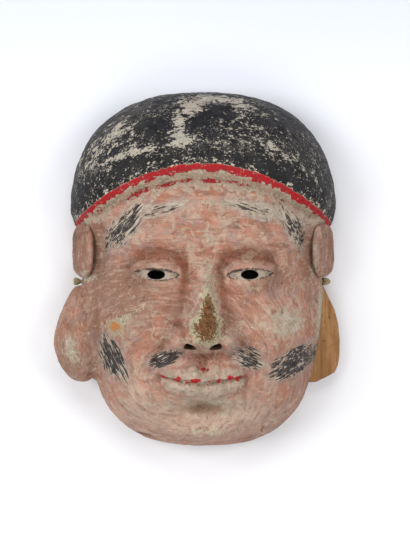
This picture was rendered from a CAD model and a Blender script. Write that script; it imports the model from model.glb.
# A carved and painted wooden mask, lying face up on its rim on a pale floor.
import math
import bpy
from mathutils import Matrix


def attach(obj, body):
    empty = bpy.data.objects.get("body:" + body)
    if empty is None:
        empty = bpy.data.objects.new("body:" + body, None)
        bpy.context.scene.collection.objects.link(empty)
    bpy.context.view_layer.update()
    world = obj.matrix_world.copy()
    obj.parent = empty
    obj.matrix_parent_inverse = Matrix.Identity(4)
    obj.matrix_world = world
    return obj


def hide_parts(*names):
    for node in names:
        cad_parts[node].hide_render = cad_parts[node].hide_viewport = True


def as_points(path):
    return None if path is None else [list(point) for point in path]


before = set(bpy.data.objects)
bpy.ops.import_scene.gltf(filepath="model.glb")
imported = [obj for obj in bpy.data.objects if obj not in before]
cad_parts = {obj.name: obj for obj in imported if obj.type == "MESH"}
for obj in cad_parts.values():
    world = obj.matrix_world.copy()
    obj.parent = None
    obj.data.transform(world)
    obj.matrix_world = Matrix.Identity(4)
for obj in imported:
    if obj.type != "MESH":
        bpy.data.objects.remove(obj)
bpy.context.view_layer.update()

from types import SimpleNamespace as Named

import bmesh
import bpy
import numpy as np
from mathutils import Euler, Matrix, Vector, noise
from mathutils.kdtree import KDTree

MM = 0.001

# Sizes of the carving, in millimetres, the same as the part's own. x is measured from the face's
# middle line, y from the middle of the mask towards the crown, and z up from the rim.
HEAD = Named(x=3.5, widest_y=30, half_width=76.7, crown=73.5, chin=140.8, crown_power=2.5, chin_power=2.95)
DOME = Named(pole_y=-22, depth=66, side_power=2.15, length_power=2.6)
HOLLOW = Named(inset=9.5, depth=53, side_power=2.3, length_power=2.6)
HOLLOW_NOSE = Named(y=-36, across=15, along=21, depth=15)

CROWN_Y = 102
CHIN_Y = -109
FACE_THIRD = 62
EYE_WIDTH = 28
EYE_Y = (CROWN_Y + CHIN_Y) / 2
BROW_Y = CHIN_Y + 2 * FACE_THIRD
NOSE_Y = CHIN_Y + FACE_THIRD
MOUTH_Y = NOSE_Y - FACE_THIRD / 3
LIP_FOLD_Y = MOUTH_Y - 18.5
EYE_X = EYE_WIDTH

# Rounded swellings and hollows of the face: x, y, how far it reaches across and along, and height
SWELLINGS = {
    "forehead": (0, 38, 45, 18, 2.5),
    "between_brows": (0, BROW_Y, 12, 9, 1.5),
    "temple": (60, 12, 12, 20, -1.5),
    "before_ear": (63.5, 12, 4.5, 20, -7),
    "socket": (EYE_X, EYE_Y + 3, 20, 12, -7.5),
    "inner_corner": (13, EYE_Y + 3, 7, 11, -3.5),
    "cheek": (39, -33, 22, 22, 8.5),
    "jowl": (45, -76, 20, 22, 4.5),
    "muzzle": (0, MOUTH_Y + 1, 27, 18, 6.5),
    "philtrum": (0, NOSE_Y - 8, 3.4, 6, -1.3),
    "under_lip": (0, LIP_FOLD_Y, 18, 5.5, -4.5),
    "chin": (0, -97, 19, 9, 7.5),
    "mouth_corner": (27, MOUTH_Y + 2.4, 4.5, 5, -2.2),
}
BROW = Named(arch=3.5, arch_end=52, proud=3.6, thick=6.5, sweep=0.9, start=(4, 16), end=(44, 60))
CREASES = Named(y=(31, 38.5), width=1.6, depth=0.5, start=18, end=40)
SMILE_FOLD = Named(
    top_y=NOSE_Y + 8, length=36, top_x=19, spread=16, width=4.2, depth=2.4, start=(0, 0.2), end=(0.55, 1))
EYE = Named(ball=6.5, across=20, along=14.5, curve=1.8, tilt=0.05, drop=0.6)
EYE_OPENING = Named(up=3.2, down=3.4, upper_curve=0.75, lower_curve=0.9)
LID = Named(proud=2.2, lower_share=0.55, edge=0.8, ends=(12.6, 17.4))
LID_FADE = Named(upper=(4, 9), lower=(1.5, 9))
LID_CREASE = Named(up=6, width=1.1, depth=1.6)
EYE_HOLE = Named(half_width=5, half_height=2.7, flare=1.5, y=EYE_Y - 0.6, depth=40)
NOSTRIL = Named(x=7.6, y=NOSE_Y - 1, z=76, radius=3.8, squash=0.85, tilt=0.5, depth=34)
RIDGE_POWER = 2.3
NOSE_BLEND = 4
FACE_BLEND = 2
UNDER_NOSE = 0.4
# Nose, along its ridge: place, height and half width
NOSE_PROFILE = np.array([
    (18, 0, 11), (8, 4.5, 9), (-6, 8.5, 8.5), (-22, 15.5, 10), (-33, 22, 11.5),
    (-39, 24.5, 12.5), (-43, 22.5, 12.5), (-48, 12, 11), (-52, 4, 9), (-56, 0, 8),
])
WING = Named(x=13.4, y=NOSE_Y + 3.5, across=7.4, along=7.8, height=15)
WING_GROOVE = Named(x=10.5, y=NOSE_Y + 9.5, across=2.5, along=6, depth=1.3)
LIPS = Named(half_width=25, lift=2.4, dip=0.9, bow=0.2, middle_width=0.15, corner_share=0.3, roll=0.8)
UPPER_LIP = Named(height=8, proud=3.74)
LOWER_LIP = Named(height=10.5, proud=4.84)
LIP_SEAM = Named(depth=3, width=1.2, ends=(0.86, 1.06))

CAP = Named(edge_y=57.2, edge_drop=34.2, drop_at=80, drop_power=2, edge_round=1.6)
CAP_BAND = Named(height=6, proud=1.8, side_proud=3.6)
CAP_CROWN = Named(proud=7, step=(-9, 6))
CAP_ROLL = Named(up=10, width=5, height=1.3, dip_up=21, dip_width=7, dip=1.2)
CAP_FADE = 14

EAR = Named(x=73.4, y=12.5, z=24, thick=6.5, up=19.5, wide=14, lean=1.2, squareness=2.7)
# The rim and groove of an ear run round it between these turns
EAR_RIM = Named(ring=0.84, width=0.13, height=1.2, start=(-1.6, -0.9), end=(2.7, 3.1))
EAR_GROOVE = Named(ring=0.56, width=0.14, depth=2.2, start=(-0.9, -0.3), end=(2.2, 2.8))
CONCHA = Named(up=-0.1, back=-0.2, up_reach=0.42, back_reach=0.32, depth=3.2)
# Upright folds that show from in front: distance from the face's middle, width and height
EAR_FOLDS = [(68.4, 1.9, 1.2), (73, 1.8, -2.2), (77.2, 2, 1)]
EAR_FADE = Named(relief=0.35, folds=0.5)
LOBE = Named(x=75, y=-40, z=20, out=18.5, up=31, deep=17.5, taper=0.34, taper_from=-0.4)
SPLIT_LOBE = Named(root_x=58, bottom_z=3, top_z=12, bevel=1.2, bevel_width=1.6)
# Its split face has noise for fibres and ridges: how fine across and along the grain, and its place.
# The layers of a noise say how strong and how fine each is beside the last, and how many there are.
SPLIT_WOOD = Named(drop=0.5, fibre=0.55, ridge=1.1, layers=(0.7, 2.1, 4))
SPLIT_FIBRES = (0.55, 0.035, 3)
SPLIT_RIDGES = (0.12, 0.02, 8)
# The split lobe's outer edge, from its top to its foot: y and x
SPLIT_EDGE = np.array([
    (-9, 77), (-12, 79.2), (-19, 82.5), (-26, 86), (-35, 88.2), (-45, 89.1),
    (-55, 89), (-61, 88), (-65.3, 86.1), (-68.3, 81), (-71.5, 74.2),
])

CORD_DIAMETER = 2.6
CORD_HOLE = Named(radius=2.3, y=-8.4, z=13)
KNOT = Named(left_x=-76, right_x=81.6, radius=2.7)
KNOT_LOOP = Named(
    inward=0.7, long=1.25, wide=0.6, fold=1.35, tube=1.1, ply=0.1, ply_turn=0.55, steps=181, around=10)
CORD_TWIST = Named(plies=3, turn=7.5, valley=0.8, ridge=0.22, power=0.7, steps=520, around=18)
TOUCHING_GAP = 0.3
CORD_ROUTE = [
    (-66, -8.4, 13), (-60.5, -8.8, 12), (-55, -10.5, 7.5), (-49, -14, 3.2), (-42, -19, 1.7),
    (-33, -25.5, 1.5), (-22, -31, 1.5), (-10, -34.5, 1.5), (3, -35, 1.5), (16, -32, 1.5),
    (27, -26.5, 1.5), (37, -20.5, 1.5), (46, -15.5, 1.8), (54, -11.5, 3.4), (60.5, -9.3, 7.8),
    (66.5, -8.6, 12), (72, -8.4, 13),
]

# How finely each form is divided
FACE_CELLS = 236
CENTRE_CROWDING = 1.25
HOLLOW_CELLS = 100
SPLIT_CELLS = (40, 84)
BALL_ROUNDS = 6
OUTLINE_ROUNDS = 40
CURVE_STEPS = 24
DISC_STEP = 0.004
# The least height of a carved point, and how far down a face of the rim must look
OFF_FLOOR = 0.02
FACING_DOWN = -0.9
# How far a cutter reaches past what it cuts
UNDER = 5
# How far the joins of ears and lobe are softened, and the knife's unevenness. Both fade at the rim.
JOINS = Named(lobe=9, ear=10, rounds=220, rim_fade=3)
UNEVEN = Named(size=9, height=0.42, rim_fade=4, layers=(0.6, 2.2, 4))
# Each noise is read in another place, moved this way by its own shift
SHIFT_WAY = (1, 0.7, -1)


# Small forms

def smooth_step(low, high, value):
    t = np.clip((value - low) / (high - low), 0, 1)
    return t * t * (3 - 2 * t)


def mound(dx, dy, across, along):
    return np.exp(-((dx / across) ** 2) - (dy / along) ** 2)


def bump(distance, width):
    """The height of a swelling that runs on in a line, at a distance from that line."""
    return mound(distance, 0, width, 1)


def window(form, value):
    """1 between a form's start and its end, fading to 0 beyond them."""
    return smooth_step(*form.start, value) * (1 - smooth_step(*form.end, value))


def soft_max(a, b, blend):
    return (a + b + np.sqrt((a - b) ** 2 + blend * blend)) / 2


def along_nose(y, column):
    """A column of the nose's profile at y, with a smooth curve through its rows."""
    rows, values = -NOSE_PROFILE[:, 0], NOSE_PROFILE[:, column]
    at = np.clip(-y, rows[0], rows[-1])
    i = np.clip(np.searchsorted(rows, at, side="right") - 1, 0, len(rows) - 2)
    before, after = values[np.maximum(i - 1, 0)], values[np.minimum(i + 2, len(rows) - 1)]
    start, end = values[i], values[i + 1]
    t = (at - rows[i]) / (rows[i + 1] - rows[i])
    rise, fall = (end - before) / 2, (after - start) / 2
    gain = end - start
    return start + t * (rise + t * (3 * gain - 2 * rise - fall + t * (rise + fall - 2 * gain)))


# Relief of the face and cap, in millimetres out from the bare head

def lid_edges(from_eye):
    arch = np.maximum(0, 1 - (from_eye / (EYE_WIDTH / 2)) ** 2)
    lift = EYE.tilt * from_eye - EYE.drop
    opening = EYE_OPENING
    return opening.up * arch ** opening.upper_curve + lift, -opening.down * arch ** opening.lower_curve + lift


def eye_relief(x, y):
    from_eye, from_middle = np.abs(x) - EYE_X, y - EYE_Y
    reach = np.hypot(from_eye / EYE.across, from_middle / EYE.along)
    ball = EYE.ball * np.maximum(0, 1 - reach * reach) ** EYE.curve
    upper, lower = lid_edges(from_eye)
    across = 1 - smooth_step(*LID.ends, np.abs(from_eye))
    above = smooth_step(upper - LID.edge / 2, upper + LID.edge / 2, from_middle)
    below = 1 - smooth_step(lower - LID.edge / 2, lower + LID.edge / 2, from_middle)
    upper_lid = above * (1 - smooth_step(*LID_FADE.upper, from_middle - upper))
    lower_lid = LID.lower_share * below * (1 - smooth_step(*LID_FADE.lower, lower - from_middle))
    crease = LID_CREASE.depth * bump(from_middle - upper - LID_CREASE.up, LID_CREASE.width)
    return ball + across * (LID.proud * (upper_lid + lower_lid) - crease)


def nose_relief(x, y):
    ridge = along_nose(y, 1) * np.exp(-(np.abs(x / along_nose(y, 2)) ** RIDGE_POWER))
    wing = WING.height * mound(np.abs(x) - WING.x, y - WING.y, WING.across, WING.along)
    groove = mound(np.abs(x) - WING_GROOVE.x, y - WING_GROOVE.y, WING_GROOVE.across, WING_GROOVE.along)
    return soft_max(ridge, wing, NOSE_BLEND) - NOSE_BLEND / 2 - WING_GROOVE.depth * groove


def lip_shape(x, y):
    """How far up from the seam between the lips a point is, each lip's height there, and its taper."""
    side = np.abs(x) / LIPS.half_width
    taper = np.sqrt(np.maximum(0, 1 - side * side))
    middle = bump(side, LIPS.middle_width)
    up = y - (MOUTH_Y + LIPS.lift * side * side - LIPS.dip * middle)
    height = np.where(up > 0, UPPER_LIP.height * (1 - LIPS.bow * middle), LOWER_LIP.height)
    return side, taper, up, height * (LIPS.corner_share + (1 - LIPS.corner_share) * taper)


def lip_relief(x, y):
    side, taper, up, height = lip_shape(x, y)
    roll = np.maximum(0, 1 - (up / height) ** 2) ** LIPS.roll
    seam = LIP_SEAM.depth * (1 - smooth_step(*LIP_SEAM.ends, side)) * bump(up, LIP_SEAM.width)
    return np.where(up > 0, UPPER_LIP.proud, LOWER_LIP.proud) * taper * roll - seam


def face_relief(x, y):
    side = np.abs(x)
    flesh = sum(
        height * mound(side - middle_x, y - middle_y, across, along)
        for middle_x, middle_y, across, along, height in SWELLINGS.values())
    arch_y = BROW_Y + BROW.arch * np.sin(np.clip(side / BROW.arch_end, 0, 1) * math.pi * BROW.sweep)
    flesh = flesh + BROW.proud * window(BROW, side) * bump(y - arch_y, BROW.thick)
    crease_fade = 1 - smooth_step(CREASES.start, CREASES.end, side)
    for crease_y in CREASES.y:
        flesh = flesh - CREASES.depth * crease_fade * bump(y - crease_y, CREASES.width)
    down = np.clip((SMILE_FOLD.top_y - y) / SMILE_FOLD.length, 0, 1)
    fold_x = SMILE_FOLD.top_x + SMILE_FOLD.spread * np.sin(down * math.pi / 2)
    fold = window(SMILE_FOLD, down) * bump(side - fold_x, SMILE_FOLD.width)
    flesh = flesh - SMILE_FOLD.depth * fold
    with_nose = soft_max(flesh, flesh * UNDER_NOSE + nose_relief(x, y), FACE_BLEND) - FACE_BLEND / 2
    return with_nose + eye_relief(x, y) + lip_relief(x, y)


def cap_edge(x):
    return CAP.edge_y - CAP.edge_drop * np.abs(x / CAP.drop_at) ** CAP.drop_power


def from_middle_to_side(x, middle, side):
    """A value that goes from one at the cap's middle to another at its sides."""
    return middle + (side - middle) * np.clip((x / CAP.drop_at) ** 2, 0, 1)


def cap_relief(x, over_edge):
    band_proud = from_middle_to_side(x, CAP_BAND.proud, CAP_BAND.side_proud)
    over_band = over_edge - CAP_BAND.height
    roll = CAP_ROLL.height * bump(over_band - CAP_ROLL.up, CAP_ROLL.width)
    dip = CAP_ROLL.dip * bump(over_band - CAP_ROLL.dip_up, CAP_ROLL.dip_width)
    step = smooth_step(*CAP_CROWN.step, over_band)
    return band_proud + (CAP_CROWN.proud - band_proud) * step + (roll - dip) * from_middle_to_side(x, 1, 0)


def relief(x, y):
    over_edge = y - cap_edge(x)
    cap_share = smooth_step(-CAP.edge_round, CAP.edge_round, over_edge)
    face = face_relief(x, y) * (1 - smooth_step(-CAP_FADE, 0, over_edge))
    return face * (1 - cap_share) + cap_relief(x, over_edge) * cap_share


def hollow_relief(x, y):
    return HOLLOW_NOSE.depth * mound(x, y - HOLLOW_NOSE.y, HOLLOW_NOSE.across, HOLLOW_NOSE.along)


# Domes: a square grid pressed onto a disc, and the disc onto the head's outline

def outline_radius(cos, sin, inset):
    near, far = np.zeros_like(cos), np.full_like(cos, 2.0 * HEAD.chin)
    for _ in range(OUTLINE_ROUNDS):
        middle = (near + far) / 2
        up = DOME.pole_y + middle * sin - HEAD.widest_y
        power = np.where(up > 0, HEAD.crown_power, HEAD.chin_power)
        reach = np.where(up > 0, HEAD.crown, HEAD.chin)
        inside = np.abs(middle * cos / HEAD.half_width) ** power + np.abs(up / reach) ** power < 1
        near, far = np.where(inside, middle, near), np.where(inside, far, middle)
    return near - inset


def dome_points(disc, form, inset):
    radius = np.hypot(disc[:, 0], disc[:, 1])
    safe = np.maximum(radius, 1e-9)
    cos, sin = np.where(radius > 1e-9, disc[:, 0] / safe, 1), np.where(radius > 1e-9, disc[:, 1] / safe, 0)
    power = form.side_power + (form.length_power - form.side_power) * sin * sin
    across, up = np.sin(radius * math.pi / 2), np.maximum(0, np.cos(radius * math.pi / 2))
    size = (across ** power + up ** power) ** (-1 / power)
    reach = outline_radius(cos, sin, inset) * across * size
    z = np.where(radius >= 1, 0, form.depth * up * size)
    return np.stack([HEAD.x + reach * cos, DOME.pole_y + reach * sin, z], axis=1)


def carved_points(disc, form, inset, relief_at):
    """The dome's points moved out along its normal by the relief there."""
    radius = np.hypot(disc[:, 0], disc[:, 1])
    inner = disc * np.minimum(1, (1 - DISC_STEP) / np.maximum(radius, 1e-9))[:, None]
    base = dome_points(disc, form, inset)
    steps = [np.array([DISC_STEP, 0]), np.array([0, DISC_STEP])]
    along = [dome_points(inner + s, form, inset) - dome_points(inner - s, form, inset) for s in steps]
    normal = np.cross(along[0], along[1])
    normal /= np.linalg.norm(normal, axis=1, keepdims=True)
    moved = base + normal * relief_at(base[:, 0] - HEAD.x, base[:, 1])[:, None]
    moved[:, 2] = np.where(radius > 1 - 1e-6, 0, np.maximum(moved[:, 2], OFF_FLOOR))
    return moved


# Making solids

def add(name, data):
    piece = bpy.data.objects.new(name, data)
    bpy.context.scene.collection.objects.link(piece)
    return piece


def bm_points(bm):
    return np.array([v.co for v in bm.verts], float).reshape(-1, 3)


def place(bm, points):
    for v, p in zip(bm.verts, points):
        v.co = p * MM


def finish_mesh(bm, name, material):
    mesh = bpy.data.meshes.new(name)
    bm.to_mesh(mesh)
    bm.free()
    mesh.materials.append(material)
    return add(name, mesh)


def finish_solid(bm, name, material):
    bmesh.ops.recalc_face_normals(bm, faces=bm.faces)
    return finish_mesh(bm, name, material)


def read(items, name, width, kind=float):
    """One property of all the points, edges, faces or corners of a mesh."""
    values = np.empty(len(items) * width, kind)
    items.foreach_get(name, values)
    return values.reshape(-1, width) if width > 1 else values


def mesh_arrays(mesh):
    """A mesh's points in millimetres, their normals, and the ends of its edges."""
    points, normals = (read(mesh.vertices, name, 3) for name in ("co", "normal"))
    return points / MM, normals, read(mesh.edges, "vertices", 2, int)


def move_points(mesh, points):
    mesh.vertices.foreach_set("co", (points * MM).ravel())
    mesh.update()


def smooth_faces(mesh):
    for face in mesh.polygons:
        face.use_smooth = True


def face_materials(mesh):
    """For each vertex, whether a face of each material touches it."""
    kinds, sizes = (read(mesh.polygons, name, 1, int) for name in ("material_index", "loop_total"))
    touched = np.zeros((len(mesh.vertices), kinds.max() + 1), bool)
    touched[read(mesh.loops, "vertex_index", 1, int), np.repeat(kinds, sizes)] = True
    return touched


def blurred(values, ends, rounds):
    """Values at the vertices, averaged with their neighbours' again and again."""
    (a, b), count = ends.T, len(values)
    near = np.bincount(a, minlength=count) + np.bincount(b, minlength=count)
    for _ in range(rounds):
        total = [np.bincount(a, row[b], count) + np.bincount(b, row[a], count) for row in values.T]
        values = (values + np.stack(total, axis=1) / near[:, None]) / 2
    return values


def dome_solid(name, cells, form, inset, relief_at, floor_z, material):
    bm = bmesh.new()
    bmesh.ops.create_grid(bm, x_segments=cells, y_segments=cells, size=1)
    flat = bm_points(bm)
    u, v = flat[:, 0], flat[:, 1]
    disc = np.stack([u * np.sqrt(1 - v * v / 2), v * np.sqrt(1 - u * u / 2)], axis=1)
    radius = np.hypot(disc[:, 0], disc[:, 1])
    disc *= (np.maximum(radius, 1e-12) ** (CENTRE_CROWDING - 1))[:, None]
    points = carved_points(disc, form, inset, relief_at)
    rim = np.maximum(np.abs(u), np.abs(v)) > 1 - 1e-6
    points[rim, 2] = floor_z
    place(bm, points)
    bmesh.ops.edgeloop_fill(bm, edges=[e for e in bm.edges if e.is_boundary])
    return finish_solid(bm, name, material)


def pebble_solid(name, points_of, material):
    """A ball pressed to the shape that a function gives its points."""
    bm = bmesh.new()
    bmesh.ops.create_icosphere(bm, subdivisions=BALL_ROUNDS, radius=1)
    place(bm, points_of(bm_points(bm)))
    return finish_solid(bm, name, material)


def ear_relief(up, back):
    ring, turn = np.hypot(up, back), np.arctan2(up, back)

    def fold(form):
        return window(form, turn) * bump(ring - form.ring, form.width)

    bowl = CONCHA.depth * mound(up - CONCHA.up, back - CONCHA.back, CONCHA.up_reach, CONCHA.back_reach)
    return EAR_RIM.height * fold(EAR_RIM) - EAR_GROOVE.depth * fold(EAR_GROOVE) - bowl


def ear_solid(side, material):
    outward = np.array([side * math.sin(EAR.lean), 0, math.cos(EAR.lean)])
    backward = np.array([side * math.cos(EAR.lean), 0, -math.sin(EAR.lean)])

    def points_of(unit):
        out, up, back = unit.T
        rise = np.where(out > 0, ear_relief(up, back) * smooth_step(0, EAR_FADE.relief, out), 0)
        corner = (np.abs(up) ** EAR.squareness + np.abs(back) ** EAR.squareness) ** (1 / EAR.squareness)
        fuller = np.where(corner > 1e-6, np.hypot(up, back) / np.maximum(corner, 1e-6), 1)
        middle = np.array([HEAD.x + side * EAR.x, EAR.y, EAR.z])
        points = middle + np.outer(up * fuller * EAR.up, [0, 1, 0])
        points += np.outer(out * EAR.thick + rise, outward) + np.outer(back * fuller * EAR.wide, backward)
        front = smooth_step(0, EAR_FADE.folds, out * math.cos(EAR.lean) - back * math.sin(EAR.lean))
        from_middle = side * (points[:, 0] - HEAD.x)
        folds = sum(height * bump(from_middle - x, width) for x, width, height in EAR_FOLDS)
        points[:, 2] += front * (1 - up ** 4) * folds
        return points

    return pebble_solid("ear", points_of, material)


def lobe_solid(side, material):
    def points_of(unit):
        narrow = 1 - LOBE.taper * smooth_step(LOBE.taper_from, 1, unit[:, 1])
        return np.stack([
            HEAD.x + side * LOBE.x + unit[:, 0] * LOBE.out * narrow,
            LOBE.y + unit[:, 1] * LOBE.up,
            LOBE.z + unit[:, 2] * LOBE.deep * narrow,
        ], axis=1)

    return pebble_solid("lobe", points_of, material)


def split_lobe_solid(material):
    """What is left of the right lobe: a slab with a split upper face that follows the grain."""
    bm = bmesh.new()
    bmesh.ops.create_grid(bm, x_segments=SPLIT_CELLS[0], y_segments=SPLIT_CELLS[1], size=1)
    flat = bm_points(bm)
    across, down = (flat[:, 0] + 1) / 2, (1 - flat[:, 1]) / 2
    y = SPLIT_EDGE[0, 0] + (SPLIT_EDGE[-1, 0] - SPLIT_EDGE[0, 0]) * down
    outer = np.interp(-y, -SPLIT_EDGE[:, 0], SPLIT_EDGE[:, 1])
    x = SPLIT_LOBE.root_x + (outer - SPLIT_LOBE.root_x) * across
    edge = np.minimum(outer - x, np.minimum(SPLIT_EDGE[0, 0] - y, y - SPLIT_EDGE[-1, 0]))

    def rough(kind, fine, *layers):
        return np.array([kind(Vector((a * fine[0], b * fine[1], fine[2])), *layers) for a, b in zip(x, y)])

    z = SPLIT_LOBE.top_z - SPLIT_WOOD.drop
    z = z + SPLIT_WOOD.fibre * rough(noise.fractal, SPLIT_FIBRES, *SPLIT_WOOD.layers)
    z += SPLIT_WOOD.ridge * rough(noise.noise, SPLIT_RIDGES)
    z -= SPLIT_LOBE.bevel * (1 - smooth_step(0, SPLIT_LOBE.bevel_width, edge))
    place(bm, np.stack([x, y, z], axis=1))
    walls = bmesh.ops.extrude_face_region(bm, geom=bm.faces[:])
    for v in walls["geom"]:
        if isinstance(v, bmesh.types.BMVert):
            v.co.z = SPLIT_LOBE.bottom_z * MM
    return finish_solid(bm, "split_lobe", material)


def peg_solid(name, radii, half_sizes, depth, turn, middle, material):
    """A round or oval cutter along its own axis."""
    bm = bmesh.new()
    bmesh.ops.create_cone(
        bm, cap_ends=True, segments=32, radius1=radii[0], radius2=radii[1], depth=depth,
        matrix=Matrix.Translation(Vector(middle)) @ Euler(turn).to_matrix().to_4x4()
        @ Matrix.Diagonal((*half_sizes, 1, 1)),
    )
    bmesh.ops.scale(bm, vec=(MM, MM, MM), verts=bm.verts)
    return finish_solid(bm, name, material)


def soften_joins(mesh, kinds):
    """Rounds the creases where the ears and the whole lobe grow out of the head."""
    points, _, ends = mesh_arrays(mesh)
    touched = face_materials(mesh)
    seam = np.flatnonzero(touched[:, kinds[0]] & touched[:, kinds[1]])
    tree = KDTree(len(seam))
    for i in seam:
        tree.insert(points[i], i)
    tree.balance()
    reach = np.array([tree.find(p)[2] for p in points])
    limit = np.where(points[:, 1] < CORD_HOLE.y, JOINS.lobe, JOINS.ear)
    share = (1 - smooth_step(0, 1, reach / limit)) * smooth_step(0, JOINS.rim_fade, points[:, 2])
    move_points(mesh, points + share[:, None] * (blurred(points, ends, JOINS.rounds) - points))


def hand_finish(mesh):
    """Makes the surface slightly uneven, as a knife and thick paint leave it."""
    points, normals, _ = mesh_arrays(mesh)
    wave = np.array([noise.fractal(Vector(p) / UNEVEN.size, *UNEVEN.layers) for p in points])
    rise = UNEVEN.height * wave * smooth_step(0, UNEVEN.rim_fade, points[:, 2])
    move_points(mesh, points + normals * rise[:, None])


def combine(target, other, operation):
    """Joins or cuts target with other by a boolean, and removes other."""
    modifier = target.modifiers.new(operation.lower(), "BOOLEAN")
    modifier.operation, modifier.object = operation, other
    modifier.solver, modifier.material_mode = "MANIFOLD", "TRANSFER"
    graph = bpy.context.evaluated_depsgraph_get()
    made = bpy.data.meshes.new_from_object(target.evaluated_get(graph))
    target.modifiers.clear()
    target.data = made
    bpy.data.objects.remove(other)


# Cord and knots

def distances(line, power=1):
    """How far along a line each of its points is."""
    return np.concatenate([[0], np.cumsum(np.linalg.norm(np.diff(line, axis=0), axis=1) ** power)])


def mixed(t, start, end, a, b):
    return (end - t) / (end - start) * a + (t - start) / (end - start) * b


def smooth_curve(points, steps):
    """Points evenly along a smooth curve through the given ones, and the curve's length."""
    points = np.array(points, float)
    ends = np.vstack([2 * points[0] - points[1], points, 2 * points[-1] - points[-2]])
    times = distances(ends, 0.5)
    fine = []
    for i in range(1, len(ends) - 2):
        near, at = ends[i - 1:i + 3], times[i - 1:i + 3]
        t = np.linspace(at[1], at[2], CURVE_STEPS, endpoint=False)[:, None]
        for gap in (1, 2):
            near = [mixed(t, at[k], at[k + gap], near[k], near[k + 1]) for k in range(len(near) - 1)]
        fine.append(mixed(t, at[1], at[2], *near))
    fine = np.vstack(fine + [points[-1:]])
    reach = distances(fine)
    at = np.linspace(0, reach[-1], steps)
    return np.stack([np.interp(at, reach, fine[:, i]) for i in range(3)], axis=1), reach[-1]


def tube_frames(line):
    """At each point of a line, two directions across it that turn as little as they can."""
    along = np.gradient(line, axis=0)
    along /= np.linalg.norm(along, axis=1, keepdims=True)
    side = np.cross(along[0], [0, 0, 1])
    sides = []
    for direction in along:
        side = side - direction * np.dot(side, direction)
        side /= np.linalg.norm(side)
        sides.append(side)
    sides = np.array(sides)
    return sides, np.cross(along, sides)


def tube(name, line, around, radius_at, material):
    """A closed tube along a line, with a radius for each step and turn."""
    bm = bmesh.new()
    bmesh.ops.create_grid(bm, x_segments=len(line) - 1, y_segments=around, size=1)
    flat = bm_points(bm)
    step = np.rint((flat[:, 0] + 1) / 2 * (len(line) - 1)).astype(int)
    turn = (flat[:, 1] + 1) * math.pi
    sides, ups = tube_frames(line)
    radius = radius_at(step, turn)[:, None]
    place(bm, line[step] + radius * (sides[step] * np.cos(turn)[:, None] + ups[step] * np.sin(turn)[:, None]))
    bmesh.ops.remove_doubles(bm, verts=bm.verts, dist=1e-7)
    bmesh.ops.holes_fill(bm, edges=[e for e in bm.edges if e.is_boundary])
    return finish_solid(bm, name, material)


def make_cord(material):
    """A cord with plies that wind round it: its radius is greatest on the back of each."""
    left = (KNOT.left_x + KNOT.radius + TOUCHING_GAP, CORD_HOLE.y, CORD_HOLE.z)
    right = (KNOT.right_x - KNOT.radius - TOUCHING_GAP, CORD_HOLE.y, CORD_HOLE.z)
    line, length = smooth_curve([left, *CORD_ROUTE, right], CORD_TWIST.steps)
    reach = distances(line)

    def radius_at(step, turn):
        phase = turn * CORD_TWIST.plies - 2 * math.pi * reach[step] * CORD_TWIST.plies / CORD_TWIST.turn
        ply = np.abs(np.cos(phase / 2)) ** CORD_TWIST.power
        return CORD_DIAMETER / 2 * (CORD_TWIST.valley + CORD_TWIST.ridge * ply)

    return tube("hanging_cord_twisted", line, CORD_TWIST.around, radius_at, material), line, length


def make_knot(name, x, material):
    """A tight overhand knot: a tube that passes through itself three times."""
    loop = KNOT_LOOP
    t = np.linspace(0, 2 * math.pi, loop.steps)[:-1]
    line = np.stack([
        loop.long * np.cos(3 * t),
        loop.wide * (np.sin(t) + loop.fold * np.sin(2 * t)),
        loop.wide * (np.cos(t) - loop.fold * np.cos(2 * t)),
    ], axis=1) + [x - math.copysign(loop.inward, x), CORD_HOLE.y, CORD_HOLE.z]

    def radius_at(step, turn):
        return loop.tube + loop.ply * np.cos(3 * turn - loop.ply_turn * step)

    return tube(name, np.vstack([line, line[:1]]), loop.around, radius_at, material)


# Building materials

def light(colour):
    """A colour as light, from its 0 to 255 values."""
    if isinstance(colour, Field):
        return colour
    parts = [c / 255 for c in colour]
    return (*(c / 12.92 if c < 0.04045 else ((c + 0.055) / 1.055) ** 2.4 for c in parts), 1)


def join(tree, socket, value):
    if isinstance(value, Field):
        tree.links.new(value.socket, socket)
    else:
        socket.default_value = value


def make(tree, kind, inputs, output=0, **settings):
    """A new node of a kind in a tree, as the field that comes out of it."""
    node = tree.nodes.new("ShaderNode" + kind)
    for name, value in settings.items():
        setattr(node, name, value)
    for socket, value in inputs.items():
        join(tree, node.inputs[socket], value)
    return Field(tree, node.outputs[output])


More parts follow.
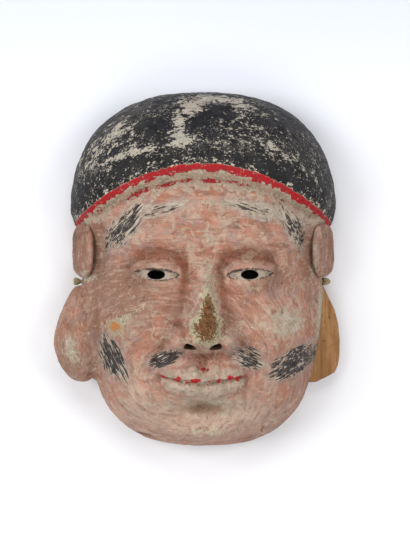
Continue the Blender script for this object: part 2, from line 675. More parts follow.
class Field:
    """A value that varies over a surface, and the sums that are done on it."""

    def __init__(self, tree, socket):
        self.tree, self.socket = tree, socket

    def math(self, operation, *others):
        return make(self.tree, "Math", dict(enumerate((self, *others))), operation=operation)

    def __add__(self, other):
        return self.math("ADD", other)

    def __sub__(self, other):
        return self.math("SUBTRACT", other)

    def __mul__(self, other):
        return self.math("MULTIPLY", other)

    def invert(self):
        return (self * -1) + 1

    def sway(self, amount):
        """A field from 0 to 1, turned to swing about 0."""
        return (self - 0.5) * amount

    def step(self, low, high, kind="SMOOTHSTEP"):
        """0 below low and 1 above high."""
        return make(self.tree, "MapRange", {0: self, 1: low, 2: high}, interpolation_type=kind)

    def fall(self, low, high):
        """1 below low and 0 above high."""
        return self.step(low, high).invert()

    def limit(self):
        return self.step(0, 1, "LINEAR")

    def axis(self, index):
        return make(self.tree, "SeparateXYZ", {0: self}, index)

    def stretch(self, *sizes):
        return make(self.tree, "VectorMath", {0: self, 1: sizes}, operation="MULTIPLY")

    def noise(self, grain, detail=2, roughness=0.55, distortion=0, shift=0):
        """Cloudy noise from 0 to 1, with lumps about as wide as grain."""
        moved = self
        if shift:
            way = tuple(shift * part for part in SHIFT_WAY)
            moved = make(self.tree, "VectorMath", {0: self, 1: way}, operation="ADD")
        return make(self.tree, "TexNoise", {
            "Vector": moved, "Scale": 1 / grain, "Detail": detail, "Roughness": roughness,
            "Distortion": distortion,
        })


def coats(colour, *layers, kind="MIX"):
    """Colours laid one over another: each layer is how much of it there is, and its colour."""
    for amount, over in layers:
        inputs = {0: amount, 6: light(colour), 7: light(over)}
        colour = make(amount.tree, "Mix", inputs, 2, data_type="RGBA", blend_type=kind)
    return colour


def blend(amount, under, over):
    """The colour over laid on the colour under, by amount."""
    return coats(under, (amount, over))


def shade(colour, *layers):
    """The colour multiplied by tints: each layer is an amount and a tint."""
    return coats(colour, *layers, kind="MULTIPLY")


class Surface:
    """A material with its shader, and the fields that it reads."""

    def __init__(self, name):
        self.material = bpy.data.materials.new(name)
        self.material.use_nodes = True
        self.tree = self.material.node_tree
        self.shader = self.tree.nodes["Principled BSDF"]
        self.where = make(self.tree, "TexCoord", {}, "Object").stretch(*[1 / MM] * 3)

    def __getitem__(self, name):
        return make(self.tree, "Attribute", {}, "Fac", attribute_name=name)

    def vector(self, name):
        return make(self.tree, "Attribute", {}, "Vector", attribute_name=name)

    def group(self, tree, **inputs):
        node = self.tree.nodes.new("ShaderNodeGroup")
        node.node_tree = tree
        for name, value in inputs.items():
            join(self.tree, node.inputs[name], value)
        return Named(**{output.name: Field(self.tree, output) for output in node.outputs if output.name})

    def paint(self, colour, roughness, height=None, bump=1.0, sheen=0.3):
        ends = {"Base Color": colour, "Roughness": roughness, "Specular IOR Level": sheen}
        if height is not None:
            ends["Normal"] = make(self.tree, "Bump", {"Strength": bump, "Distance": MM, "Height": height})
        for name, value in ends.items():
            join(self.tree, self.shader.inputs[name], value)
        return self.material


def new_group(name, inputs, outputs):
    """An empty shared effect, its inputs as fields, and a function that ends it."""
    tree = bpy.data.node_groups.new(name, "ShaderNodeTree")
    for label, kind in inputs.items():
        tree.interface.new_socket(label, in_out="INPUT", socket_type="NodeSocket" + kind)
    for label in outputs:
        tree.interface.new_socket(label, in_out="OUTPUT", socket_type="NodeSocketFloat")
    start, end = tree.nodes.new("NodeGroupInput"), tree.nodes.new("NodeGroupOutput")

    def close(**results):
        for label, value in results.items():
            join(tree, end.inputs[label], value)
        return tree

    return Named(**{label: Field(tree, start.outputs[label]) for label in inputs}), close


# Shared effects

def flaking_effect():
    """Where a brittle coat still holds: worn is above 0 where it has mostly gone."""
    given, close = new_group("flaking", {"where": "Vector", "worn": "Float"}, ("coat", "rubbed"))
    broad = given.where.noise(4.6, detail=3, roughness=0.68, distortion=0.4)
    fine = given.where.noise(1.2, roughness=0.7, shift=31)
    loss = broad.sway(1.65) + fine.sway(1.5) + given.worn
    return close(coat=loss.fall(-0.012, 0.012), rubbed=loss.step(-0.2, 0))


# Cloudy fields: grain, detail, roughness, distortion and shift of each, and where it is 0 and 1
MOTTLES = {
    "broad": (17, 2, 0.55, 0.8, 5, 0.38, 0.62),
    "middle": (7, 3, 0.55, 1, 12, 0.36, 0.64),
    "small": (2.3, 3, 0.62, 0.5, 52, 0.36, 0.64),
    "fine": (1, 1, 0.65, 0, 23, 0.32, 0.68),
}


def mottle_effect():
    given, close = new_group("mottle", {"where": "Vector"}, MOTTLES)
    return close(**{name: given.where.noise(*row[:5]).step(*row[5:]) for name, row in MOTTLES.items()})


def brushing_effect():
    """Brush marks that run along the strokes: x and y of stroke lie across them, z along."""
    given, close = new_group("brushing", {"stroke": "Vector"}, ("wide", "pale", "dark"))

    def marks(along, grain, detail, distortion, shift):
        return given.stroke.stretch(1, 1, along).noise(grain, detail, 0.6, distortion, shift)

    return close(
        wide=marks(0.35, 7, 3, 1.4, 8).step(0.36, 0.64),
        pale=marks(0.14, 1.7, 2, 0.45, 41).step(0.52, 0.72),
        dark=marks(0.12, 1.8, 2, 0.45, 77).step(0.52, 0.7),
    )


def scratches_effect():
    """Sparse thin lines, such as hairline cracks and scratches, pale ones and dark ones."""
    given, close = new_group("scratches", {"where": "Vector"}, ("pale", "dark"))

    def lines(shift, sparse):
        wavy = given.where.noise(7, distortion=1.4, shift=shift) - 0.5
        shown = given.where.noise(6, shift=shift + 57).step(sparse, sparse + 0.06)
        return wavy.math("ABSOLUTE").fall(0.008, 0.02) * shown

    return close(pale=lines(3, 0.55), dark=lines(26, 0.57))


def grain_effect():
    """Wood grain that runs along y."""
    given, close = new_group("grain", {"where": "Vector"}, ("tone", "fibre"))
    where = given.where
    return close(
        tone=where.stretch(1, 0.06, 1).noise(3.6, detail=4, roughness=0.6, distortion=0.5).step(0.3, 0.7),
        fibre=where.stretch(1, 0.045, 1).noise(0.8, detail=3, roughness=0.7, shift=17).step(0.25, 0.75),
    )


def hairs_effect():
    """Brushed hairs in a tuft: x of tuft lies across them and y along, and inside is 1 at its middle."""
    inputs = {"tuft": "Vector", "inside": "Float", "black": "Float"}
    given, close = new_group("hairs", inputs, ("hair", "dry", "ground"))
    tuft = given.tuft
    strand = tuft.stretch(1, 0.08, 1).noise(0.85, roughness=0.6, distortion=0.3) - 0.5
    body = given.inside + tuft.stretch(1, 0.45, 1).noise(3.6, shift=13).sway(2.6)
    cover = body * 0.9 + strand * 5.2 + given.black - 0.72
    dry = tuft.stretch(1, 0.07, 1).noise(1.1, detail=1, distortion=0.3, shift=29).step(0.6, 0.68)
    return close(
        hair=cover.step(-0.15, 0.25) * body.step(-0.7, 0.1),
        dry=dry * body.step(-0.4, 0.1),
        ground=(body + strand * 1.5).step(-0.6, 0.3),
    )


# Where each coat of paint lies. A spot is: x, y, how far it reaches along and across, its turn in
# degrees, and how strong it is.

SPOTS = {
    # Where the cap has lost its black, above 0, or kept it, below
    "cap_wear": [
        (0, 100, 10, 5, 0, 0.6), (-11, 87, 4.4, 10, 12, 0.55), (-5, 94, 6, 4, 0, 0.3),
        (15, 104, 22, 3.4, -5, 0.4), (30, 98, 15, 6, -18, 0.34), (25, 84, 24, 7, -4, 0.2),
        (-32, 71, 26, 2.2, 14, 0.42), (-9, 77, 6, 5, 0, 0.3), (20, 76, 28, 2.6, -4, 0.2),
        (48, 72, 18, 3.4, -37, 0.28), (70, 55, 18, 7, 105, 0.14), (-54, 80, 30, 7, 44, 0.26),
        (-36, 79, 18, 8, 25, 0.14), (-46, 72, 26, 14, 44, 0.12), (-30, 63, 22, 2, 20, 0.14),
        (-62, 50, 9, 4, 40, 0.1), (10, 98, 8, 4.6, -10, -0.5), (1, 89, 6, 5, 0, -0.5),
        (-26, 86, 12, 7, 20, -0.34), (44, 94, 20, 10, -45, -0.16), (-51, 54, 22, 7, 28, -0.12),
        (51, 57, 20, 6, -28, -0.14), (-34, 99, 16, 6, 30, -0.14),
    ],
    "cap_sheen": [(-44, 92, 26, 8, 38, 0.8), (58, 82, 24, 7, -48, 0.5), (20, 74, 34, 4, 0, 0.5)],
    # Flesh that is darker, above 0, or paler, below
    "tone": [
        (-46, -20, 24, 26, 0, 0.7), (-80, -38, 40, 14, 80, 0.45), (-76, -60, 14, 8, 0, 0.4),
        (-74, -24, 10, 7, 0, -0.4), (-80, 12, 22, 7, 90, 0.9), (84, 12, 22, 7, 90, 0.8),
        (34, 0, 22, 16, 0, 0.1), (-28, 0, 22, 16, 0, 0.12), (52, -12, 14, 16, 0, 0.35),
        (-60.5, 12, 4.4, 22, 0, 1.15), (-64, 12, 2.4, 19, 0, 0.4), (-36, -8, 16, 8, 0, 0.4),
        (68, 12, 4, 22, 0, 1.15), (71.5, 12, 2.2, 19, 0, 0.4), (44, -8, 16, 8, 0, 0.45),
        (20, -28, 6, 20, 10, 0.5), (-14, -28, 6, 20, -10, 0.4), (4, -90, 50, 15, 0, -1.1),
        (52, -34, 17, 13, 0, -0.8), (-42, -76, 18, 18, 0, -0.4), (4, 38, 50, 5, 0, -0.3),
        (62, -80, 12, 24, 20, 0.6), (-58, -76, 10, 22, -24, 0.5), (32, -45, 7, 14, 30, 0.35),
        (-68, 26, 12, 6, 40, 0.6), (-69.5, 12, 1.7, 16, 0, 0.8), (76, 12, 1.7, 16, 0, 0.8),
        (-65.5, 10, 2, 15, 0, -0.7), (73, 10, 2, 15, 0, -0.7), (-75.5, 14, 2, 15, 0, 0.5),
        (82, 14, 2, 15, 0, 0.5), (-62, -40, 4, 24, 0, 0.6), (70, -36, 4, 24, 0, 0.5),
    ],
    # Where the flesh coat is rubbed or gone
    "flesh_wear": [
        (-22, 36, 17, 2.8, 12, 0.46), (20, 38.5, 30, 2.8, -3, 0.42), (46, 34, 18, 4.6, -30, 0.48),
        (8, 20, 9, 4, 90, 0.26), (8, -12, 26, 5, 92, 0.36), (5, -43, 15, 4, 0, 0.46),
        (-50, -36, 9, 8, 0, 0.36), (-40, -28, 13, 3.4, 35, 0.42), (-78, -50, 11, 5, 105, 0.5),
        (54, -33, 14, 9, 10, 0.52), (5, -80, 26, 4, 0, 0.34), (4, -87, 22, 6, 0, 0.4),
        (-2, -101, 5, 5, 0, 0.3), (-24, -93, 10, 4, -35, 0.2), (-53, -62, 9, 7, 70, 0.22),
        (-62, 30, 6, 2.4, 25, 0.55), (-70, -3, 3, 1.6, 20, 0.7), (67, 30, 7, 3, -40, 0.5),
        (-68, -7, 9, 2.4, 12, 0.5), (72, 0, 9, 3, 80, 0.5), (35, -12.5, 4.5, 1.1, 0, 0.55),
        (31, -99, 3, 3, 0, 0.2), (46, -100, 5, 3, 25, 0.24), (75.8, -38, 32, 2, 88, 0.8),
        (3.5, -66, 30, 9, 0, 0.2), (5, -28, 20, 9, 90, 0.25),
    ],
    # Bare wood on the nose, specks of red, and the orange, dark and tan places
    "bare": [(6.6, -24, 10, 3.6, 94, 0.75), (5.2, -36, 8.6, 8.2, 90, 0.85), (4, -99, 15, 5, 0, 0.16)],
    "red_spots": [
        (4.5, -61, 2.4, 1.2, 0, 0.5), (-36, 45, 7, 2, 24, 0.5), (-19, 50, 6, 1.2, 14, 0.5),
        (-7, 52.6, 5, 1, 8, 0.5), (8, 52.6, 5, 1.5, 0, 0.5), (23, 51, 9, 1, -9, 0.45),
        (52, 41.5, 3, 1, -25, 0.3), (-60, 34, 3, 1, 30, 0.4),
    ],
    "amber": [(-49.7, -35.6, 4.6, 4, 0, 1)],
    "dark": [(-32, -103, 10, 1.8, -14, 1), (40, -97, 7, 1.4, 86, 0.8), (66, -74, 12, 6, 40, 0.35)],
    "tan": [(0, 100, 10, 5, 0, 1), (-28, 5, 14, 3, 0, 0.6), (34, 5, 14, 3, 0, 0.6)],
}
# Thin coats over the flesh: size of its patches, shift, where it starts and is full, strength, colour
FLESH_GLAZES = [
    (21, 7, 0.48, 0.62, 0.45, (142, 100, 80)), (16, 33, 0.48, 0.62, 0.55, (152, 128, 122)),
    (12, 64, 0.49, 0.57, 0.6, (176, 114, 84)), (9, 70, 0.53, 0.58, 0.55, (194, 172, 150)),
    (6, 15, 0.54, 0.60, 0.45, (184, 116, 104)), (3.4, 58, 0.57, 0.63, 0.3, (124, 94, 80)),
]
# Tufts of painted hair: x, y, half length, half width, the hairs' direction, black hair, pale ground
TUFTS = [
    (-45, 24, 19, 6.5, 46, 0.3, 0.9), (60, 24, 17, 6, -53, 0.15, 1.0), (-22, 34.5, 14, 3.4, 14, -0.2, 0.8),
    (33, 35, 15, 4.2, -16, -0.25, 0.9), (-20, -54.5, 11, 4, 24, 0.8, 0.5),
    (31, -54.5, 10, 5.4, -24, 0.45, 1.0), (-52, -55, 14, 7, -62, 0.6, 0.9),
    (60, -57, 16, 7.5, 27, 0.75, 0.6),
]
# How the tufts' hairs are moved apart, so that no two are alike, and how far outside counts
TUFT_SHIFT = Named(across=7, along=5, depth=0.4)
OUTSIDE_TUFTS = -3
BEYOND_TUFTS = -9.0
BARE_STRIP = Named(height=9.4, side_height=3.6)
# The ears count as lying this far below the cap's paint
EARS_BELOW = Named(flesh=-30, crown=-60)
CAP_ARC = Named(drop=12, radius=95, stretch=0.6)
# Strokes turn from round the mouth to straight across at these heights; they lean and are squeezed
STROKES = Named(turn=(-20, 14), squeeze=0.9, lean=0.35, radius=46, rise=70, depth=0.3)
LASH = Named(rise=0.2, lower_gap=0.5)
FAR_FROM_LIPS = Named(lips=-3, seam=9)
GROOVE_ROUNDS = Named(fine=14, broad=110, soften=2)


def spot_axes(x, y, middle_x, middle_y, turn):
    """How far a point is from a spot's middle, along and across it."""
    cos, sin = math.cos(math.radians(turn)), math.sin(math.radians(turn))
    return (x - middle_x) * cos + (y - middle_y) * sin, (y - middle_y) * cos - (x - middle_x) * sin


def spots(x, y, table):
    """The sum of the soft spots in a table."""
    return sum(
        amount * mound(*spot_axes(x, y, middle_x, middle_y, turn), along, across)
        for middle_x, middle_y, along, across, turn, amount in table)


def tuft_fields(x, y):
    """Across and along the nearest tuft, how far inside it, its black hair and its pale ground."""
    best = np.full_like(x, BEYOND_TUFTS)
    fields = np.zeros((5, len(x)))
    fields[2] = OUTSIDE_TUFTS
    for tx, ty, half_length, half_width, turn, black, ground in TUFTS:
        along, across = spot_axes(x, y, tx, ty, turn)
        inside = 1 - (along / half_length) ** 2 - (across / half_width) ** 2
        nearer = inside > best
        best = np.where(nearer, inside, best)
        values = (across + TUFT_SHIFT.across * ty, along + TUFT_SHIFT.along * tx, inside, black, ground)
        fields = np.where(nearer, np.array([np.broadcast_to(v, x.shape) for v in values]), fields)
    fields[2] = np.maximum(fields[2], OUTSIDE_TUFTS)
    return fields


def stroke_field(x, y, z):
    """Brush marks go across the forehead and round the mouth and cheeks."""
    up = smooth_step(*STROKES.turn, y)
    around = np.hypot(x * STROKES.squeeze, y - MOUTH_Y) + x * STROKES.lean
    angle = np.arctan2(np.abs(x), y - MOUTH_Y) * STROKES.radius
    across = around + up * (y + STROKES.rise - around)
    return np.stack([across, z * STROKES.depth, angle + up * (x - angle)], axis=1)


def cap_grain_field(x, y, z):
    """The cap's paint cracks along arcs about the face: out from its middle, along the arc, and up."""
    radius, angle = np.hypot(x, y + CAP_ARC.drop), np.arctan2(x, y + CAP_ARC.drop)
    return np.stack([radius, angle * CAP_ARC.radius * CAP_ARC.stretch, z], axis=1)


def store(mesh, **fields):
    """Keeps named values on the mesh, one for each point."""
    for name, values in fields.items():
        kind, key = ("FLOAT_VECTOR", "vector") if values.ndim == 2 else ("FLOAT", "value")
        mesh.attributes.new(name, kind, "POINT").data.foreach_set(key, values.ravel())


def paint_fields(mesh, ear_kind):
    """Stores on the mesh where each coat lies, how worn it is, and the way it was brushed."""
    points, normals, ends = mesh_arrays(mesh)
    x, y, z = points.T
    face_x = x - HEAD.x
    ear = face_materials(mesh)[:, ear_kind]
    stroke = stroke_field(x, y, z)
    stroke[ear] = points[ear][:, [0, 2, 1]]
    store(mesh, stroke=stroke, cap_grain=cap_grain_field(face_x, y, z), ear=np.where(ear, 1.0, 0.0))
    store(mesh, **{name: spots(x, y, table) for name, table in SPOTS.items()})

    smooth = blurred(points, ends, GROOVE_ROUNDS.fine)
    smoother = blurred(smooth, ends, GROOVE_ROUNDS.broad)
    for name, flat in (("groove", smooth), ("recess", smoother)):
        depth = ((flat - points) * normals).sum(axis=1)[:, None]
        store(mesh, **{name: blurred(depth, ends, GROOVE_ROUNDS.soften)[:, 0]})

    over_edge = y - cap_edge(face_x)
    strip_height = from_middle_to_side(face_x, BARE_STRIP.height, BARE_STRIP.side_height)
    store(
        mesh,
        over_flesh=np.where(ear, EARS_BELOW.flesh, over_edge + strip_height),
        over_crown=np.where(ear, EARS_BELOW.crown, over_edge - CAP_BAND.height),
    )
    across, along, inside, black, ground = tuft_fields(x, y)
    tuft = np.stack([across, along, z * TUFT_SHIFT.depth], axis=1)
    store(mesh, tuft=tuft, tuft_inside=inside, tuft_black=black, tuft_ground=ground)

    side, taper, up, height = lip_shape(face_x, y)
    lips = np.where(side < 1, 1 - (up / height) ** 2, -1)
    seam = np.where(side < LIP_SEAM.ends[1], np.abs(up), FAR_FROM_LIPS.seam)
    store(mesh, lips=np.maximum(lips, FAR_FROM_LIPS.lips), lip_seam=seam)
    from_eye, from_middle = np.abs(face_x) - EYE_X, y - EYE_Y
    upper, lower = lid_edges(from_eye)
    reach = np.maximum(0, np.abs(from_eye) - EYE_WIDTH / 2)
    upper_lash, lower_lash = np.abs(from_middle - upper - LASH.rise), np.abs(from_middle - lower)
    store(
        mesh,
        lash_line=np.minimum(upper_lash, lower_lash + LASH.lower_gap) + reach,
        eyeball=np.minimum(upper - from_middle, from_middle - lower) - reach,
    )


# Materials

def worn_nose_wood(surface, mottle):
    """Bare wood with dark pores and worn fibres, where the nose has lost its paint."""
    fibre = surface.group(GRAIN, where=surface.where).fibre
    wood = blend(mottle.small, (116, 78, 47), (162, 114, 70))
    wood = shade(wood, (fibre.invert() * 0.6, (150, 116, 88)))
    pores = surface.where.noise(1.15, detail=1, roughness=0.7, shift=81).step(0.5, 0.6)
    return blend(pores * 0.7, wood, (78, 50, 30)), fibre


def pale_ground(surface, mottle):
    """The chalky ground under the paint: cream, greyish green in places, and specked."""
    where, over_crown = surface.where, surface["over_crown"]
    strip = over_crown.step(-20, -15) * over_crown.fall(-1, 0)
    ground = coats(
        blend(mottle.middle, (174, 164, 142), (194, 180, 158)),
        (mottle.broad * mottle.small * 0.7, (152, 148, 126)),
        (where.noise(2.6, shift=71).step(0.56, 0.66) * 0.7, (208, 200, 184)),
        (surface["tan"].limit() * 0.8, (178, 150, 120)),
        (where.noise(3.4, shift=95).step(0.56, 0.68) * 0.5, (170, 134, 114)),
        (strip * 0.85, coats(
            blend(mottle.small, (146, 138, 118), (182, 170, 150)), (mottle.middle * 0.6, (176, 142, 126)))),
        (over_crown.step(0, 2) * 0.55, (188, 182, 171)),
    )
    return shade(ground, (where.noise(1, detail=1, shift=90).step(0.64, 0.7) * 0.55, (150, 125, 102)))


def flesh_paint(surface, mottle, brushing):
    """Flesh colour in many thin coats, rubbed paler where it stands proud and browner in its hollows."""
    where, middle, tone = surface.where, mottle.middle, surface["tone"]
    glazes = [
        (where.noise(grain, 4, 0.6, 1.1, shift).step(start, full) * amount, colour)
        for grain, shift, start, full, amount, colour in FLESH_GLAZES
    ]
    return coats(
        blend(brushing.wide, (132, 92, 74), (188, 141, 122)),
        (middle * 0.4, (176, 126, 108)),
        *glazes,
        ((surface["recess"] * -1).step(0.2, 3) * (middle * 0.4 + 0.12), (206, 178, 160)),
        (surface["ear"] * (middle * 0.4), (140, 112, 98)),
        (tone.step(0, 1) * 0.72, (132, 96, 78)),
        ((tone - 1).step(0, 0.5) * 0.8, (104, 74, 56)),
        ((tone * -1).step(0, 1) * (middle * 0.35 + 0.4), (204, 180, 160)),
        (brushing.pale * 0.34, (210, 184, 168)),
        (brushing.dark * 0.44, (118, 86, 72)),
        (where.noise(0.9, detail=0, shift=44).step(0.72, 0.78) * mottle.broad.invert() * 0.6, (92, 66, 54)),
    )


def amber_spot(surface, mottle, colour):
    """A spot on the cheek where an orange undercoat shows inside a grey-green ring."""
    amber = surface["amber"] + mottle.small.sway(0.3)
    ring = blend(mottle.small, (150, 142, 112), (182, 170, 138))
    return coats(colour, (amber.step(0.08, 0.3) * 0.7, ring), (amber.step(0.4, 0.8) * 0.85, (184, 114, 54)))


def lip_paint(surface, mottle, brushing, colour):
    """Lips in chalky cream over pink, with flecks of red left along their seam."""
    seam = surface["lip_seam"]
    lips = (surface["lips"] + mottle.middle.sway(0.7)).step(-0.15, 0.15)
    flecks = seam * -0.16 + surface.where.noise(4.5, detail=3, shift=50).sway(2.2)
    chalky = coats(
        blend(mottle.middle, (150, 143, 122), (188, 174, 154)),
        (brushing.wide * 0.4, (182, 136, 122)),
        (brushing.pale * 0.5, (200, 158, 144)),
        (brushing.dark * 0.55, (122, 110, 98)),
    )
    return coats(
        colour,
        (lips * 0.8, chalky),
        (seam.fall(0.3, 1) * 0.6, (84, 66, 58)),
        (flecks.step(-0.04, 0.01) * seam.fall(2.6, 3.4), (172, 34, 38)),
    )


def painted_hair(surface, mottle, below_band, colour):
    """Brows, moustache and whiskers, brushed in black over patches of bare ground."""
    inside = surface["tuft_inside"]
    tuft = surface.group(HAIRS, tuft=surface.vector("tuft"), inside=inside, black=surface["tuft_black"])
    shown = below_band * surface["tone"].fall(0.5, 1)
    return coats(
        colour,
        (inside.step(-2.2, 0.2) * shown * 0.45, (158, 138, 130)),
        (tuft.ground * surface["tuft_ground"] * shown * 0.7,
         blend(mottle.small, (150, 140, 122), (196, 182, 162))),
        (tuft.hair * shown * 0.96, blend(mottle.small, (32, 30, 31), (68, 62, 61))),
        (tuft.dry * shown * 0.8, (196, 186, 172)),
    )


def eye_paint(surface, mottle, colour):
    """Eyes in greyish cream, lined in black along the lids and into their corners."""
    lash = surface["lash_line"] + mottle.fine.sway(0.5) + mottle.middle.sway(0.5)
    return coats(
        colour,
        (surface["eyeball"].step(-0.2, 0.3) * 0.8, (172, 160, 144)),
        (lash.fall(0.4, 1) * 0.85, (46, 40, 38)),
    )


def cap_paint(surface, mottle, colour):
    """The cap's black, and the red border below it, chipped down to the ground."""
    broad, middle, small = mottle.broad, mottle.middle, mottle.small
    height, red_spots, cap_grain = surface["over_crown"], surface["red_spots"], surface.vector("cap_grain")
    over_crown = height + small.sway(0.9)

    red_coat = surface.group(FLAKING, where=surface.where, worn=height * -0.02 - 0.42)
    ragged = over_crown + (middle.sway(2.2) + broad.sway(1.2))
    red_zone = ragged.step(-5, -4.7) * over_crown.fall(-0.4, 0.1)
    remnants = (red_spots + small.sway(0.34)).step(0.2, 0.25) * red_spots.step(0.1, 0.14)
    red_left = (red_coat.coat * red_zone).math("MAXIMUM", remnants)

    fleck_line = over_crown.fall(2.6, 4.2) * (middle * 0.26 + 0.04)
    black_coat = surface.group(FLAKING, where=cap_grain, worn=surface["cap_wear"] + fleck_line - 0.34)
    streaks = cap_grain.stretch(1, 0.22, 1).noise(1.4, roughness=0.6, shift=19).step(0.42, 0.66)
    black = coats(
        blend(middle, (24, 23, 25), (42, 41, 42)),
        (streaks * surface["cap_sheen"].limit() * 0.8, (104, 99, 92)),
        (black_coat.rubbed * mottle.fine * 0.5, (100, 94, 86)),
    )
    chips = cap_grain.noise(1.1, detail=1, roughness=0.7, shift=63).step(0.63, 0.67) * broad.step(0.2, 0.8)
    black_left = black_coat.coat * over_crown.step(-0.2, 0.2) * (chips * -0.75 + 1)
    red = blend(small, (172, 22, 29), (148, 38, 42))
    return coats(colour, (red_left, red), (black_left, black)), black_left, red_left


def painted_wood():
    """Wood with a pale ground, flesh colour, a black cap with a red border, and brushed hair."""
    surface = Surface("painted_wood")
    where = surface.where
    mottle = surface.group(MOTTLE, where=where)
    brushing = surface.group(BRUSHING, stroke=surface.vector("stroke"))
    scratches = surface.group(SCRATCHES, where=where)
    middle, small, fine = mottle.middle, mottle.small, mottle.fine

    wood, fibre = worn_nose_wood(surface, mottle)
    bare = (surface["bare"] + small.sway(0.4) + fine.sway(0.2)).step(0.39, 0.45)
    near_bare = (surface["bare"] + middle.sway(0.14) + small.sway(0.14)).step(0.15, 0.22)
    halo = blend(small, (168, 160, 124), (204, 192, 158))
    flesh_wear = surface["flesh_wear"] + (brushing.pale - brushing.dark) * 0.1
    flesh_coat = surface.group(FLAKING, where=where, worn=flesh_wear - 0.5).coat
    rubbed = (flesh_wear + small.sway(0.3) + middle.sway(0.2)).step(0.2, 0.55)
    over_flesh = surface["over_flesh"] + middle.sway(6) + small.sway(3.4)
    below_band = over_flesh.fall(-0.2, 0.9)
    flesh_left = flesh_coat * below_band * near_bare.invert()
    flesh = flesh_paint(surface, mottle, brushing)

    colour = coats(
        pale_ground(surface, mottle), (near_bare * 0.75, halo), (bare, wood),
        (flesh_left * (rubbed * -0.8 + 0.97), flesh))
    colour = amber_spot(surface, mottle, colour)
    colour = lip_paint(surface, mottle, brushing, colour)
    colour = painted_hair(surface, mottle, below_band, colour)
    colour = eye_paint(surface, mottle, colour)
    colour, black_left, red_left = cap_paint(surface, mottle, colour)

    dark = (surface["dark"] + brushing.dark.sway(0.7)).step(0.35, 0.6)
    deep = surface["recess"].step(0.1, 2.6) * over_flesh.fall(0, 6)
    colour = shade(
        blend(scratches.pale * 0.4, colour, (210, 198, 180)),
        (scratches.dark * 0.6, (140, 112, 95)),
        (dark * 0.8, (150, 130, 115)),
        (surface["groove"].step(0.04, 0.5) * (fine * 0.3 + 0.3), (170, 142, 122)),
        (deep * (middle * 0.3 + 0.6), (188, 152, 132)),
        (where.axis(2).fall(0, 16) * (middle * 0.4 + 0.5), (166, 148, 134)),
    )
    height = flesh_left * 0.14 + black_left * 0.2 + red_left * 0.16 + middle * 0.3 + small * 0.16 + fine * 0.1
    height = height + brushing.pale * 0.12 - brushing.dark * 0.12 - bare * (fibre * 0.4 + small * 0.5)
    return surface.paint(colour, black_left * -0.12 + 0.72, height, bump=0.85, sheen=0.22)


def aged_wood(name, pale, dark, streak, bump, gouged):
    """Bare wood: pale and dark are its grain's colours, streak its dirt's, and gouged its tool marks."""
    surface = Surface(name)
    where = surface.where
    grain, mottle = surface.group(GRAIN, where=where), surface.group(MOTTLE, where=where)
    colour = shade(blend(grain.tone, dark, pale), (grain.fibre.invert() * 0.6, (196, 176, 156)))
    pores = where.stretch(1, 0.35, 1).noise(1.6, shift=44).step(0.67, 0.72)
    colour = shade(blend(mottle.broad * mottle.middle * 0.5, colour, streak), (pores * 0.8, (130, 95, 70)))
    gouges = where.stretch(1, 0.3, 1).noise(5.5, detail=1, shift=9).step(0.34, 0.66)
    height = grain.fibre * 0.35 + grain.tone * 0.3 - pores * 0.3 + gouges * gouged
    return surface.paint(colour, 0.75, height, bump)


def twisted_fibre():
    surface = Surface("cord_fibre")
    mottle = surface.group(MOTTLE, where=surface.where)
    strand = surface.where.noise(0.5, roughness=0.7)
    colour = shade(blend(mottle.middle, (198, 190, 160), (172, 160, 126)), (strand, (190, 178, 150)))
    return surface.paint(colour, 0.9, strand * 0.25, 0.6, 0.15)


def floor_white():
    """Pale paper that is a little bluer towards the crown."""
    surface = Surface("floor_white")
    far = (surface.where.axis(1) + surface.where.noise(300, detail=1) * 60).step(40, 330)
    return surface.paint(blend(far, (249, 249, 252), (208, 216, 242)), 0.9, sheen=0.1)


MOTTLE = mottle_effect()
BRUSHING = brushing_effect()
SCRATCHES = scratches_effect()
GRAIN = grain_effect()
HAIRS = hairs_effect()
FLAKING = flaking_effect()

paint = painted_wood()
ear_paint = bpy.data.materials.new("ear_paint")
split = aged_wood("split_wood", (198, 152, 102), (152, 108, 66), (146, 100, 60), 0.8, 0.4)
carved = aged_wood("carved_back", (124, 92, 64), (92, 66, 46), (80, 60, 46), 1.0, 1.6)
fibre = twisted_fibre()


# The cord and its knots, where the part has them

cord, cord_line, cord_length = make_cord(fibre)
knots = [make_knot("left_knot_tied", KNOT.left_x, fibre), make_knot("right_knot_tied", KNOT.right_x, fibre)]
for piece, node in zip([cord, *knots], ["hanging_cord", "left_knot", "right_knot"]):
    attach(piece, "root")
    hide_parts(node)
    smooth_faces(piece.data)
tuple(cord_line[0] * MM)
cord_length * MM
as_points(cord_line * MM)


# The mask: one carving, joined and cut from its forms

def cutters():
    """The hollow, the cord's hole, and the holes through the eyes and nostrils, made one by one."""
    yield dome_solid("hollow", HOLLOW_CELLS, HOLLOW, HOLLOW.inset, hollow_relief, -UNDER, carved)
    through = 2 * (HEAD.half_width + CAP_CROWN.proud + UNDER)
    middle = (HEAD.x, CORD_HOLE.y, CORD_HOLE.z)
    size = (CORD_HOLE.radius, CORD_HOLE.radius)
    yield peg_solid("cord_holes", (1, 1), size, through, (0, math.pi / 2, 0), middle, carved)
    down, sin, cos = NOSTRIL.depth / 2 - UNDER, math.sin(NOSTRIL.tilt), math.cos(NOSTRIL.tilt)
    for side in (-1, 1):
        size = (EYE_HOLE.half_width, EYE_HOLE.half_height)
        middle = (HEAD.x + side * EYE_X, EYE_HOLE.y, DOME.depth + UNDER - EYE_HOLE.depth / 2)
        yield peg_solid("eye_hole", (EYE_HOLE.flare, 1), size, EYE_HOLE.depth, (0, 0, 0), middle, carved)
        size = (NOSTRIL.radius, NOSTRIL.radius * NOSTRIL.squash)
        middle = (HEAD.x + side * NOSTRIL.x, NOSTRIL.y + down * sin, NOSTRIL.z - down * cos)
        yield peg_solid("nostril", (1, 1), size, NOSTRIL.depth, (NOSTRIL.tilt, 0, 0), middle, carved)


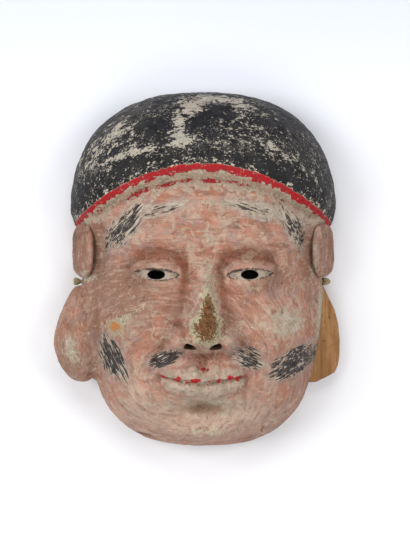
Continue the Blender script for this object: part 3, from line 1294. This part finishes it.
head = dome_solid("carved_mask", FACE_CELLS, DOME, 0, relief, 0, paint)
for side in (-1, 1):
    combine(head, ear_solid(side, ear_paint), "UNION")
combine(head, lobe_solid(-1, ear_paint), "UNION")
soften_joins(head.data, (0, 1))
hand_finish(head.data)
combine(head, split_lobe_solid(split), "UNION")
for cutter in cutters():
    combine(head, cutter, "DIFFERENCE")

# The rim that the mask lies on is bare wood, and the ears take the mask's own paint
kinds = [slot.name for slot in head.data.materials]
for face in head.data.polygons:
    if face.normal.z < FACING_DOWN and face.center.z < OFF_FLOOR * MM:
        face.material_index = kinds.index("carved_back")
paint_fields(head.data, kinds.index("ear_paint"))
head.data.materials[kinds.index("ear_paint")] = paint
smooth_faces(head.data)
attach(head, "root")
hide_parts("mask")


# Camera, floor and light

# The camera looks straight down. Heights here are in metres.
CAMERA = Named(x=4.7, y=-3.4, height=1.3, view_length=0.3419, view_z=0.015)
FLOOR = Named(half_size=2, z=-0.0002)
AIM = Vector((0, 0, 0.03))
# Lamps: place, width, length and power
LAMPS = {
    "left_softbox": ((-1.1, 0.15, 1.2), 0.9, 0.9, 14.5),
    "right_softbox": ((1.1, 0.15, 1.2), 0.9, 0.9, 9.5),
    "top_softbox": ((0, 1.0, 1.3), 1.2, 0.6, 7),
    "bottom_softbox": ((0, -1.0, 1.3), 1.2, 0.6, 6.2),
}
WORLD = Named(colour=(0.95, 0.97, 1, 1), strength=0.24)


def look_down():
    camera = add("camera", bpy.data.cameras.new("camera"))
    camera.location = (CAMERA.x * MM, CAMERA.y * MM, CAMERA.height)
    camera.data.lens = camera.data.sensor_width * (CAMERA.height - CAMERA.view_z) / CAMERA.view_length
    bpy.context.scene.camera = camera


def make_floor():
    bm = bmesh.new()
    bmesh.ops.create_grid(bm, x_segments=8, y_segments=8, size=FLOOR.half_size)
    bmesh.ops.translate(bm, vec=(0, 0, FLOOR.z), verts=bm.verts)
    floor = finish_mesh(bm, "floor", floor_white())


def area_light(name, place, width, length, power):
    data = bpy.data.lights.new(name, "AREA")
    data.shape, data.size, data.size_y, data.energy = "RECTANGLE", width, length, power
    lamp = add(name, data)
    lamp.location = place
    lamp.rotation_euler = (AIM - Vector(place)).to_track_quat("-Z", "Y").to_euler()


look_down()
make_floor()
for name, sizes in LAMPS.items():
    area_light(name, *sizes)
world = bpy.data.worlds.new("pale_room")
world.use_nodes = True
background = world.node_tree.nodes["Background"]
background.inputs["Color"].default_value = WORLD.colour
background.inputs["Strength"].default_value = WORLD.strength
bpy.context.scene.world = world
bpy.context.scene.view_settings.view_transform = "Standard"
